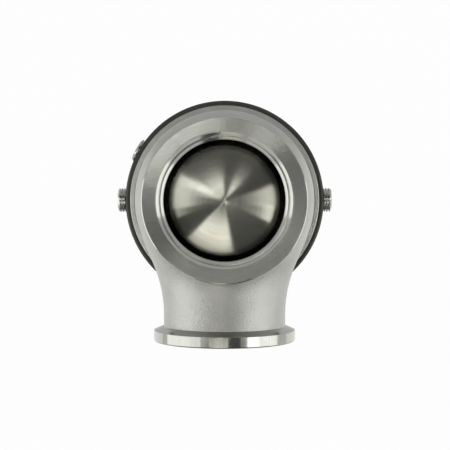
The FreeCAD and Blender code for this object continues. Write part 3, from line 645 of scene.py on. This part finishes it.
class Finish(Nodes):
    """A surface finish, with the coordinates of a point in millimetres and about both axes."""

    def __init__(self, name):
        super().__init__(bpy.data.materials.new(name))
        place = {"Vector": self.node("ShaderNodeTexCoord").outputs["Object"], "Scale": 1 / MM}
        self.place = self.node("ShaderNodeVectorMath", {"operation": "SCALE"}, place).outputs[0]
        self.x, self.y, self.z = self.split(self.place)
        self.station = self.math("SUBTRACT", self.y, INLET_AT)
        self.rise = self.math("SUBTRACT", self.z, AXIS_HEIGHT)
        self.radius = self.length(self.x, self.rise)
        self.pipe_radius = self.length(self.x, self.y)

    def length(self, a, b):
        squares = self.math("MULTIPLY_ADD", a, a, self.math("MULTIPLY", b, b))
        return self.math("SQRT", squares)

    def noise(self, scale, detail=3.0, roughness=0.55, place=None):
        """Noise with a feature size of about 1 / scale millimetres."""
        sockets = {"Vector": place or self.place, "Scale": scale}
        sockets |= {"Detail": detail, "Roughness": roughness}
        return self.node("ShaderNodeTexNoise", {}, sockets).outputs[0]

    def rings(self, scale, radius=None, detail=4.0):
        """Noise that only changes with the radius: the tool marks of a lathe."""
        place = self.join(radius or self.radius, 0.0, self.math("MULTIPLY", self.station, 0.35))
        return self.noise(scale, detail, 0.7, place)

    def mix(self, factor, a, b):
        """Blends two colours, which are the node's inputs 6 and 7."""
        return self.node("ShaderNodeMix", {"data_type": "RGBA"}, {0: factor, 6: a, 7: b}).outputs[2]

    def bump(self, height, depth, normal=None):
        """A bump whose height of 0..1 stands for a depth in millimetres."""
        sockets = {"Height": height, "Distance": depth * MM, "Strength": 1.0}
        if normal:
            sockets["Normal"] = normal
        return self.node("ShaderNodeBump", {}, sockets).outputs[0]

    def principled(self, colour, roughness, normal, **others):
        """Closes the material with one Principled shader; _ stands for a space in a socket's name."""
        sockets = {"Base Color": colour, "Roughness": roughness, "Normal": normal}
        sockets |= {key.replace("_", " "): value for key, value in others.items()}
        return self.finish(self.node("ShaderNodeBsdfPrincipled", {}, sockets))


def grey(value, warmth=0.0, green=0.0):
    """A near-grey linear colour; warmth takes blue out, green takes red and blue out."""
    return (value * (1 - green), value, value * (1 - 2.5 * warmth - green), 1.0)


def cast_steel():
    """Blasted stainless casting: a skin of small shallow dimples, and faint cloudy staining."""
    n = Finish("cast_steel")
    grain = n.noise(0.95, 3, 0.6)
    fine = n.noise(2.6, 3, 0.6)
    cloud = n.ramp(n.noise(0.06, 4, 0.6), 0.35, 0.65)
    colour = n.mix(cloud, grey(0.49, 0.03, 0.01), grey(0.54, 0.02, 0.01))
    colour = n.mix(n.ramp(fine, 0.3, 0.7), n.mix(0.25, colour, grey(0.36, 0.03)), colour)
    rough = n.ramp(grain, 0.25, 0.75, 0.40, 0.33)
    normal = n.bump(fine, 0.04, n.bump(grain, 0.40))
    return n.principled(colour, rough, normal, Metallic=1.0)


def turned_steel(
    name, axis, tone, along, across, marks=0.002, warmth=0.03, green=0.0, mottle=0.0, tint=None
):
    """Lathe-turned metal, with its roughness along and across the tool marks. Its sheen spreads far
    across them, so it fans out from the axis. Marks and mottle are depths of bumps."""
    n = Finish(name)
    if axis == "Z":
        around = n.join(n.math("MULTIPLY", n.y, -1.0), n.x, 0.0)
        radius = n.pipe_radius
    else:
        around = n.join(n.math("MULTIPLY", n.rise, -1.0), 0.0, n.x)
        radius = n.radius
    # The shader takes one roughness and an anisotropy, which here stand for along and across.
    roughness = math.sqrt(math.sqrt(along * across))
    anisotropy = min((1 - along / across) / 0.9, 1.0)
    fine = n.rings(6.0, radius)
    broad = n.rings(0.7, radius, 2.0)
    smear = n.ramp(n.noise(0.12, 4, 0.6), 0.4, 0.7)
    dark, bright, smeared = (
        grey(tone * share, warmth + more, green)
        for share, more in ((0.93, 0.0), (1.05, 0.0), (0.8, 0.02))
    )
    colour = n.mix(n.ramp(fine, 0.3, 0.7), dark, bright)
    colour = n.mix(n.math("MULTIPLY", smear, 0.3), colour, smeared)
    if tint:
        colour = tint(n, colour)
    rough = n.ramp(broad, 0.3, 0.7, roughness * 0.92, roughness * 1.08)
    normal = n.bump(fine, marks)
    if mottle:
        normal = n.bump(n.noise(0.8, 4, 0.6), mottle, normal)
    return n.principled(
        colour,
        rough,
        normal,
        Tangent=around,
        Metallic=1.0,
        Anisotropic=anisotropy,
        Anisotropic_Rotation=0.25,
    )


def throat_shade(n, colour):
    """Painted shade: black painted down the seat's throat, darker deeper in the bore where shade falls.
    """
    # painted shade: from station 3.6 to 5.2 the colour turns black
    deep = n.ramp(n.station, 3.6, 5.2)
    return n.mix(deep, colour, grey(0.03, 0.1))


def nose_shade_and_stain(n, colour):
    """Painted shade turns the valve's rounded rim black towards the gap by the seat; heat leaves faint
    straw stains inside it.
    """
    stain = n.math("MULTIPLY", n.ramp(n.noise(0.07, 3, 0.5), 0.52, 0.68), 0.12)
    colour = n.mix(stain, colour, (0.42, 0.30, 0.17, 1))
    # painted shade: black from radius 28.5 to 29.2, with a ragged inner edge
    edge = n.ramp(n.radius, 28.5, 29.2)
    ragged_shade = n.math("MULTIPLY", edge, n.ramp(n.noise(0.5, 4, 0.7), 0.2, 0.6, 0.8, 1.0))
    return n.mix(ragged_shade, colour, grey(0.03, 0.1))


def anodised(name, tone=0.026, roughness=0.34):
    """Black anodised aluminium: satin, slightly olive, with faint turning marks."""
    n = Finish(name)
    fine = n.rings(4.0)
    speck = n.noise(3.0, 3, 0.6)
    cloud = n.noise(0.08, 3, 0.6)
    colour = n.mix(n.ramp(cloud, 0.35, 0.65), grey(tone, 0.10, 0.03), grey(tone * 1.4, 0.11, 0.03))
    rough = n.ramp(speck, 0.3, 0.7, roughness * 0.9, roughness * 1.15)
    normal = n.bump(n.math("ADD", fine, n.math("MULTIPLY", speck, 0.5)), 0.004)
    return n.principled(colour, rough, normal, Metallic=0.35, Specular_IOR_Level=0.6)


def plain_metal(name, tone, roughness, warmth=0.0, grain=2.0, depth=0.004):
    """Machined or drawn metal with a fine even grain."""
    n = Finish(name)
    speck = n.noise(grain, 4, 0.6)
    cloud = n.ramp(n.noise(0.15, 3, 0.6), 0.35, 0.65)
    colour = n.mix(cloud, grey(tone * 0.9, warmth), grey(tone * 1.05, warmth))
    rough = n.ramp(speck, 0.3, 0.7, roughness * 0.85, roughness * 1.2)
    return n.principled(colour, rough, n.bump(speck, depth), Metallic=1.0)


def coloured(name, colour, other, roughness, grain, depth, metallic=0.0):
    """Rubber, plastic or bronze: two close tones and a moulded or machined grain."""
    n = Finish(name)
    speck = n.noise(grain, 4, 0.6)
    mixed = n.mix(n.ramp(n.noise(0.2, 4, 0.6), 0.35, 0.65), (*colour, 1), (*other, 1))
    rough = n.ramp(speck, 0.3, 0.7, roughness * 0.9, roughness * 1.1)
    return n.principled(mixed, rough, n.bump(speck, depth), Metallic=metallic)


FINISHES = {
    "cast_stainless": cast_steel(),
    # The seat's tint paints shade black down its throat.
    "seat_stainless": turned_steel("seat_turned", "Y", 0.55, 0.02, 0.05, tint=throat_shade),
    # The valve's tint paints shade black on its rim and adds faint straw heat stains.
    "valve_stainless": turned_steel("valve_turned", "Y", 0.48, 0.012, 0.10, warmth=0.06, tint=nose_shade_and_stain),
    "bronze": coloured("bronze", (0.50, 0.32, 0.14), (0.58, 0.40, 0.19), 0.3, 2.0, 0.004, 1.0),
    "gasket_steel": plain_metal("gasket", 0.25, 0.5),
    "black_anodised": anodised("base_black"),
    "cap_anodised": anodised("cap_black", 0.020, 0.38),
    "collar_anodised": anodised("collar_black", 0.016, 0.30),
    "plain_aluminium": plain_metal("aluminium", 0.72, 0.32),
    "seal_rubber": coloured("o_ring_rubber", (0.02, 0.02, 0.02), (0.03, 0.03, 0.03), 0.55, 2.0, 0.01),
    "diaphragm_rubber": coloured("silicone", (0.30, 0.035, 0.02), (0.36, 0.05, 0.03), 0.55, 1.5, 0.03),
    "seal_plastic": coloured("fluoropolymer", (0.30, 0.22, 0.13), (0.36, 0.27, 0.17), 0.45, 2.0, 0.005),
    "black_steel": plain_metal("black_oxide", 0.05, 0.4),
    "spring_steel": plain_metal("spring_wire", 0.35, 0.35, grain=1.2, depth=0.01),
    "nut_steel": plain_metal("zinc_plate", 0.62, 0.28),
    "plated_steel": plain_metal("bright_nickel", 0.62, 0.08, 0.02, depth=0.001),
}
INLET_TURNED = turned_steel(
    "flange_turned", "Y", 0.57, 0.008, 0.062, marks=0.004, green=0.02, mottle=0.035
)
OUTLET_TURNED = turned_steel("outlet_turned", "Z", 0.55, 0.012, 0.06)


def paint(piece, material):
    piece.data.materials.clear()
    piece.data.materials.append(material)


for subpart in frame["record"]["subparts"]:
    paint(frame["nodes"][subpart["node"]], FINISHES[subpart["material_slot"]])
paint(inlet_rim, INLET_TURNED)
paint(outlet_rim, OUTLET_TURNED)
for piece in (cast_body, actuator_rim):
    paint(piece, FINISHES["cast_stainless"])
paint(poppet, FINISHES["valve_stainless"])
paint(seat_piece, FINISHES["seat_stainless"])
for plug in plugs:
    paint(plug, FINISHES["plated_steel"])
for coil in springs:
    paint(coil, FINISHES["spring_steel"])
paint(sheet, FINISHES["diaphragm_rubber"])


# ---- Stage: sweep and floor card, in metres -----------------------------------------------------
def stage_piece(name, corners, faces, material):
    """A piece of the studio. It isn't part of the gate."""
    mesh = bpy.data.meshes.new(name)
    mesh.from_pydata(corners, [], faces)
    mesh.materials.append(material)
    piece = bpy.data.objects.new(name, mesh)
    bpy.context.scene.collection.objects.link(piece)
    piece.visible_shadow = False
    return piece


def backdrop():
    """A white sweep: floor, curve and wall. The floor lies just under the part."""
    half_width, front, back, bend, height, clear = 2.2, -0.50, 0.75, 0.35, 1.6, 0.0001
    line = [(front, 0.0), (back - bend, 0.0)]
    for k in range(1, 17):
        a = math.pi / 2 * k / 16
        line.append((back - bend + bend * math.sin(a), bend - bend * math.cos(a)))
    line.append((back, height))
    corners = [(side * half_width, y, z - clear) for y, z in line for side in (-1, 1)]
    faces = [(2 * k, 2 * k + 1, 2 * k + 3, 2 * k + 2) for k in range(len(line) - 1)]
    sweep = stage_piece("sweep", corners, faces, sweep_white())
    sweep.data.shade_smooth()
    # Bare metal shows the studio's cards instead of the floor it stands on.
    sweep.visible_glossy = False


def floor_card():
    """A glowing card by the outlet flange. It shows in reflections only, most of all in the rim's."""
    near, far, height = -0.040, -0.090, 0.0003
    corners = [(-0.009, near, height), (0.002, near, height)]
    corners += [(0.007, far, height), (-0.034, far, height)]
    n = Nodes(bpy.data.materials.new("floor_card"))
    glow = n.node("ShaderNodeEmission", {}, {"Color": (1.0, 0.98, 0.88, 1), "Strength": 0.8})
    card = stage_piece("floor_card", corners, [(0, 1, 2, 3)], n.finish(glow))
    card.visible_camera = False
    card.visible_diffuse = False


def sweep_white():
    """Diffuse white that keeps a share of the shadow, filled up to white where it is seen."""
    n = Nodes(bpy.data.materials.new("sweep_white"))
    path = n.node("ShaderNodeLightPath").outputs
    mirrored = n.math("MAXIMUM", path["Is Glossy Ray"], path["Is Transmission Ray"])
    seen = n.math("MAXIMUM", path["Is Camera Ray"], mirrored)
    share = n.math("MULTIPLY", seen, 0.975)
    diffuse = n.node("ShaderNodeBsdfDiffuse", {}, {"Color": (0.8, 0.8, 0.8, 1)}).outputs[0]
    glow = n.node("ShaderNodeEmission", {}, {"Strength": 1.0}).outputs[0]
    return n.finish(n.node("ShaderNodeMixShader", {}, {0: share, 1: diffuse, 2: glow}))


# ---- Studio: soft panels in the world -----------------------------------------------------------
ALL_ROUND = (0, 360)
SOFT_EDGE = 1.0  # half the width over which a panel fades; its front edge is twice as sharp
# Each panel has a range of turn, a range of tilt and a radiance. Turn is the angle about the valve
# axis, where 0 is +X and 90 is up. Tilt is the angle from the valve axis, where 0 is straight in
# front of the inlet. Where panels overlap, they add up.
PANELS = [
    ("room", ALL_ROUND, (0, 180), 0.09),
    ("above_lens", (-30, 210), (0, 8), 0.25),
    ("upper_left", (93, 126), (8, 16), 3.7),
    ("upper_left_low", (126, 150), (8, 16), 3.7),
    ("upper_left_side", (150, 170), (8, 18), 2.0),
    ("left_inner", (143, 160), (16, 27), 2.0),
    ("upper_right", (46, 68), (8, 15), 3.4),
    ("upper_right_high", (47, 66), (15, 26), 0.2),
    ("lower_card", (226, 279), (16, 40), 2.0),
    ("left_card", (148, 190), (26, 40), 1.25),
    ("right_card", (-9, 16), (26, 38), 1.1),
    ("right_box_low", (-26, -7), (38, 58), 2.9),
    ("right_box_high", (-7, 19), (38, 58), 1.3),
    ("left_box", (150, 200), (40, 58), 1.3),
    ("right_wall", (-35, 14), (58, 95), 1.5),
    ("left_wall", (166, 215), (58, 106), 1.4),
    ("low_left", (215, 250), (58, 100), 0.65),
    ("low_right", (290, 325), (58, 100), 0.6),
    ("ceiling", (14, 166), (58, 120), 0.45),
    ("right_rear", (-35, 14), (95, 120), 0.6),
    ("left_rear", (166, 215), (106, 120), 0.6),
    ("rear", ALL_ROUND, (120, 180), 0.45),
    ("rear_right", (-50, 30), (120, 165), 0.45),
    ("rear_left", (150, 225), (120, 165), 0.45),
]


def studio_world():
    """The room as soft panels, far enough away that only their direction matters."""
    world = bpy.data.worlds.new("studio")
    bpy.context.scene.world = world
    n = Nodes(world)
    x, y, z = n.split(n.node("ShaderNodeTexCoord").outputs["Generated"])
    turn = n.math("ARCTAN2", z, x)
    tilt = n.math("MULTIPLY", n.math("ARCCOSINE", n.math("MULTIPLY", y, -1.0)), 180 / math.pi)
    total = 0.0
    for name, turns, tilts, radiance in PANELS:
        light = 1.0
        if turns != ALL_ROUND:
            middle, half = math.radians(sum(turns) / 2), (turns[1] - turns[0]) / 2
            swing = n.math("ARCCOSINE", n.math("COSINE", n.math("SUBTRACT", turn, middle)))
            swing = n.math("MULTIPLY", swing, 180 / math.pi)
            light = n.ramp(swing, half - SOFT_EDGE, half + SOFT_EDGE, 1.0, 0.0)
        if tilts[0] > 0:
            near = n.ramp(tilt, tilts[0] - SOFT_EDGE / 2, tilts[0] + SOFT_EDGE / 2)
            light = n.math("MULTIPLY", light, near)
        if tilts[1] < 180:
            far = n.ramp(tilt, tilts[1] - SOFT_EDGE, tilts[1] + SOFT_EDGE, 1.0, 0.0)
            light = n.math("MULTIPLY", light, far)
        panel = n.math("MULTIPLY", light, radiance)
        panel.node.name = name
        total = n.math("ADD", total, panel)
    # The camera itself sees a plain white room.
    seen = n.node("ShaderNodeLightPath").outputs["Is Camera Ray"]
    unseen = n.math("MULTIPLY", total, n.math("SUBTRACT", 1.0, seen))
    strength = n.math("ADD", unseen, seen)
    sky = {"Color": (1.0, 1.0, 1.0, 1), "Strength": strength}
    n.finish(n.node("ShaderNodeBackground", {}, sky), "ShaderNodeOutputWorld")


backdrop()
floor_card()
studio_world()

# ---- Camera -------------------------------------------------------------------------------------
CAMERA_DISTANCE, CAMERA_SIDE, CAMERA_RISE = 0.614, 0.001, 0.003  # metres from the inlet's middle
LOOK_DOWN, LOOK_LEFT = math.radians(1.427), math.radians(0.066)
LENS, SENSOR = 96.96, 36.0
camera_data = bpy.data.cameras.new("camera")
camera_data.sensor_width = SENSOR
camera_data.lens = LENS
camera_data.clip_start = 0.01
camera = bpy.data.objects.new("camera", camera_data)
camera.location = (CAMERA_SIDE, INLET_Y - CAMERA_DISTANCE, AXIS_Z + CAMERA_RISE)
camera.rotation_euler = (math.pi / 2 - LOOK_DOWN, 0.0, LOOK_LEFT)
bpy.context.scene.collection.objects.link(camera)
bpy.context.scene.camera = camera

bpy.context.scene.view_settings.view_transform = "Standard"
